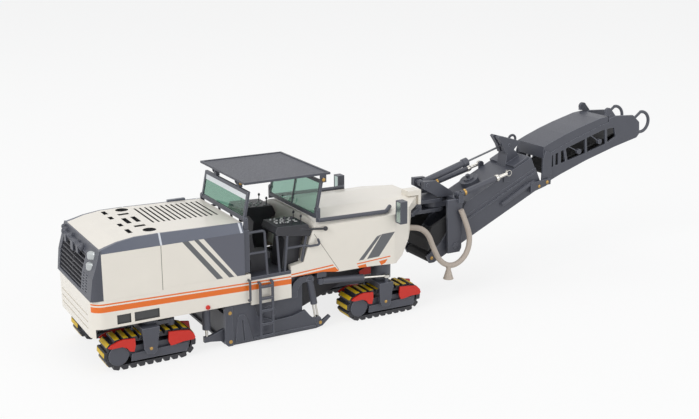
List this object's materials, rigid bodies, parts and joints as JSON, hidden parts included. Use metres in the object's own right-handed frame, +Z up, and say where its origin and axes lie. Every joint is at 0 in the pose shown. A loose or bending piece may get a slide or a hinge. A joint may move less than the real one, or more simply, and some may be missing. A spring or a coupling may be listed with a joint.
{
  "type": "cold planer milling machine scale model",
  "caption": "Die-cast scale model of a tracked cold milling machine with a folding canopy and a long front discharge conveyor.",
  "frame": {"origin": "middle of the whole model's box, on the ground under the tracks", "axes": "+X forward along the machine towards the discharge conveyor, +Y to its left, +Z up"},
  "size_m": [0.2994, 0.06, 0.0799],
  "materials": {
    "ivory_paint": "satin",
    "grey_paint": "satin",
    "black_plastic": "matte",
    "track_black": "matte",
    "guard_red": "gloss",
    "steel_rod": "polished",
    "green_glass": "clear",
    "mirror_glass": "polished",
    "lamp_plastic": "gloss",
    "belt_rubber": "matte",
    "hose_rubber": "matte"
  },
  "bodies": {
    "chassis": {"access_ladders": "grey_paint", "body_shell": "ivory_paint", "consoles_and_seats": "black_plastic", "drum_housing": "grey_paint", "engine_hood": "ivory_paint", "hood_edge_bands": "grey_paint", "main_frame": "grey_paint", "mirror_glasses": "mirror_glass", "mirror_housings": "grey_paint", "operator_platform": "grey_paint", "platform_rails": "grey_paint", "primary_conveyor": "black_plastic", "radiator_grille": "grey_paint", "rear_corner_panels": "grey_paint", "rear_lamps": "lamp_plastic", "slew_mount": "grey_paint", "tool_lift_cylinders": "grey_paint", "water_hose": "hose_rubber", "water_tank": "ivory_paint"},
    "crawler_rear_right": {"track_rear_right": "track_black", "crawler_frame_rear_right": "grey_paint", "track_guards_rear_right": "guard_red"},
    "crawler_rear_left": {"track_rear_left": "track_black", "crawler_frame_rear_left": "grey_paint", "track_guards_rear_left": "guard_red"},
    "crawler_front_right": {"track_front_right": "track_black", "crawler_frame_front_right": "grey_paint", "track_guards_front_right": "guard_red"},
    "crawler_front_left": {"track_front_left": "track_black", "crawler_frame_front_left": "grey_paint", "track_guards_front_left": "guard_red"},
    "drum": {"milling_drum": "grey_paint"},
    "plate_right": {"side_plate_right": "grey_paint", "plate_lift_rods_right": "steel_rod"},
    "plate_left": {"side_plate_left": "grey_paint", "plate_lift_rods_left": "steel_rod"},
    "moldboard": {"moldboard": "grey_paint", "moldboard_rods": "steel_rod"},
    "slew": {"slew_bracket": "grey_paint"},
    "lower_conveyor": {"conveyor_lower_frame": "grey_paint", "conveyor_lower_belt": "belt_rubber", "conveyor_lower_cover": "grey_paint", "conveyor_fittings": "grey_paint", "tail_hopper": "belt_rubber"},
    "upper_conveyor": {"conveyor_upper_frame": "grey_paint", "conveyor_upper_belt": "belt_rubber", "conveyor_upper_cover": "grey_paint"},
    "lift_barrel": {"conveyor_lift_barrel": "grey_paint"},
    "lift_rod": {"conveyor_lift_rod": "steel_rod"},
    "stay_barrels": {"stay_barrels": "grey_paint"},
    "stay_rods": {"stay_rods": "steel_rod"},
    "rear_screen": {"rear_screen_frame": "grey_paint", "rear_screen_glass": "green_glass"},
    "front_screen": {"front_screen_frame": "grey_paint", "front_screen_glass": "green_glass"},
    "roof": {"canopy_roof": "grey_paint"},
    "steer_barrel_right": {"steer_barrel_right": "grey_paint"},
    "steer_rod_right": {"steer_rod_right": "steel_rod"},
    "steer_barrel_left": {"steer_barrel_left": "grey_paint"},
    "steer_rod_left": {"steer_rod_left": "steel_rod"}
  },
  "joints": [
    {"name": "steer_rear_right", "type": "hinge", "parent": "chassis", "child": "crawler_rear_right", "pos_m": [-0.1257, -0.0184, 0.01], "axis": [0, 0, 1], "range_deg": [-15, 15]},
    {"name": "steer_rear_left", "type": "hinge", "parent": "chassis", "child": "crawler_rear_left", "pos_m": [-0.1257, 0.0184, 0.01], "axis": [0, 0, 1], "range_deg": [-15, 15]},
    {"name": "steer_front_right", "type": "hinge", "parent": "chassis", "child": "crawler_front_right", "pos_m": [-0.0172, -0.0184, 0.01], "axis": [0, 0, 1], "range_deg": [-15, 15]},
    {"name": "steer_front_left", "type": "hinge", "parent": "chassis", "child": "crawler_front_left", "pos_m": [-0.0172, 0.0184, 0.01], "axis": [0, 0, 1], "range_deg": [-15, 15]},
    {"name": "drum_spin", "type": "hinge", "parent": "chassis", "child": "drum", "pos_m": [-0.0737, 0, 0.0112], "axis": [0, 1, 0], "continuous": true},
    {"name": "plate_lift_right", "type": "slide", "parent": "chassis", "child": "plate_right", "axis": [-0.1751, 0, 0.9845], "range_m": [0, 0.006]},
    {"name": "plate_lift_left", "type": "slide", "parent": "chassis", "child": "plate_left", "axis": [-0.1751, 0, 0.9845], "range_m": [0, 0.006]},
    {"name": "moldboard_lift", "type": "slide", "parent": "chassis", "child": "moldboard", "axis": [0, 0, 1], "range_m": [0, 0.003]},
    {"name": "slew", "type": "hinge", "parent": "chassis", "child": "slew", "pos_m": [0.0213, 0, 0.042], "axis": [0, 0, 1], "range_deg": [-60, 60], "deforming": ["water_hose"]},
    {"name": "conveyor_lift", "type": "hinge", "parent": "slew", "child": "lower_conveyor", "pos_m": [0.0273, 0, 0.023], "axis": [0, 1, 0], "range_deg": [-8, 8]},
    {"name": "conveyor_fold", "type": "hinge", "parent": "lower_conveyor", "child": "upper_conveyor", "pos_m": [0.0818, 0, 0.0469], "axis": [0, 1, 0], "range_deg": [0, 40]},
    {"name": "lift_barrel_swing", "type": "hinge", "parent": "slew", "child": "lift_barrel", "pos_m": [0.0158, 0, 0.0519], "axis": [0, 1, 0], "range_deg": [-12, 12]},
    {"name": "lift_rod_travel", "type": "slide", "parent": "lift_barrel", "child": "lift_rod", "axis": [0.9623, 0, 0.2718], "range_m": [-0.006, 0.006]},
    {"name": "stay_barrel_swing", "type": "hinge", "parent": "slew", "child": "stay_barrels", "pos_m": [0.0293, 0, 0.0472], "axis": [0, 1, 0], "range_deg": [-12, 12]},
    {"name": "stay_rod_travel", "type": "slide", "parent": "stay_barrels", "child": "stay_rods", "axis": [0.9713, 0, 0.2377], "range_m": [-0.006, 0.006]},
    {"name": "canopy_rear_arm", "type": "hinge", "parent": "chassis", "child": "rear_screen", "pos_m": [-0.0843, 0, 0.054], "axis": [0, 1, 0], "range_deg": [-86, 0]},
    {"name": "canopy_front_arm", "type": "hinge", "parent": "chassis", "child": "front_screen", "pos_m": [-0.0511, 0, 0.0536], "axis": [0, 1, 0], "range_deg": [-86, 0]},
    {"name": "canopy_roof_level", "type": "hinge", "parent": "rear_screen", "child": "roof", "pos_m": [-0.0818, 0, 0.0666], "axis": [0, 1, 0], "range_deg": [0, 86]},
    {"name": "steer_barrel_swing_right", "type": "hinge", "parent": "chassis", "child": "steer_barrel_right", "pos_m": [-0.0497, -0.0224, 0.0216], "axis": [0, 0, 1], "range_deg": [-3, 3]},
    {"name": "steer_rod_travel_right", "type": "slide", "parent": "steer_barrel_right", "child": "steer_rod_right", "axis": [0.9948, -0.0624, -0.0811], "range_m": [-0.002, 0.002]},
    {"name": "steer_barrel_swing_left", "type": "hinge", "parent": "chassis", "child": "steer_barrel_left", "pos_m": [-0.0497, 0.0224, 0.0216], "axis": [0, 0, 1], "range_deg": [-3, 3]},
    {"name": "steer_rod_travel_left", "type": "slide", "parent": "steer_barrel_left", "child": "steer_rod_left", "axis": [0.9948, 0.0624, -0.0811], "range_m": [-0.002, 0.002]}
  ],
  "couplings": [
    {"joint": "steer_barrel_swing_right", "follows": "steer_front_right", "ratio": -0.0081},
    {"joint": "steer_rod_travel_right", "follows": "steer_front_right", "m_per_rad": 0.005936},
    {"joint": "steer_barrel_swing_left", "follows": "steer_front_right", "ratio": -0.0081},
    {"joint": "steer_rod_travel_left", "follows": "steer_front_right", "m_per_rad": -0.005936},
    {"joint": "steer_front_left", "follows": "steer_front_right", "ratio": 1},
    {"joint": "steer_rear_left", "follows": "steer_rear_right", "ratio": 1},
    {"joint": "lift_barrel_swing", "follows": "conveyor_lift", "ratio": 0.9397},
    {"joint": "lift_rod_travel", "follows": "conveyor_lift", "m_per_rad": 0.030855},
    {"joint": "stay_barrel_swing", "follows": "conveyor_lift", "ratio": 1.2688},
    {"joint": "stay_rod_travel", "follows": "conveyor_lift", "m_per_rad": 0.022881},
    {"joint": "canopy_front_arm", "follows": "canopy_rear_arm", "ratio": 1},
    {"joint": "canopy_roof_level", "follows": "canopy_rear_arm", "ratio": -1}
  ]
}
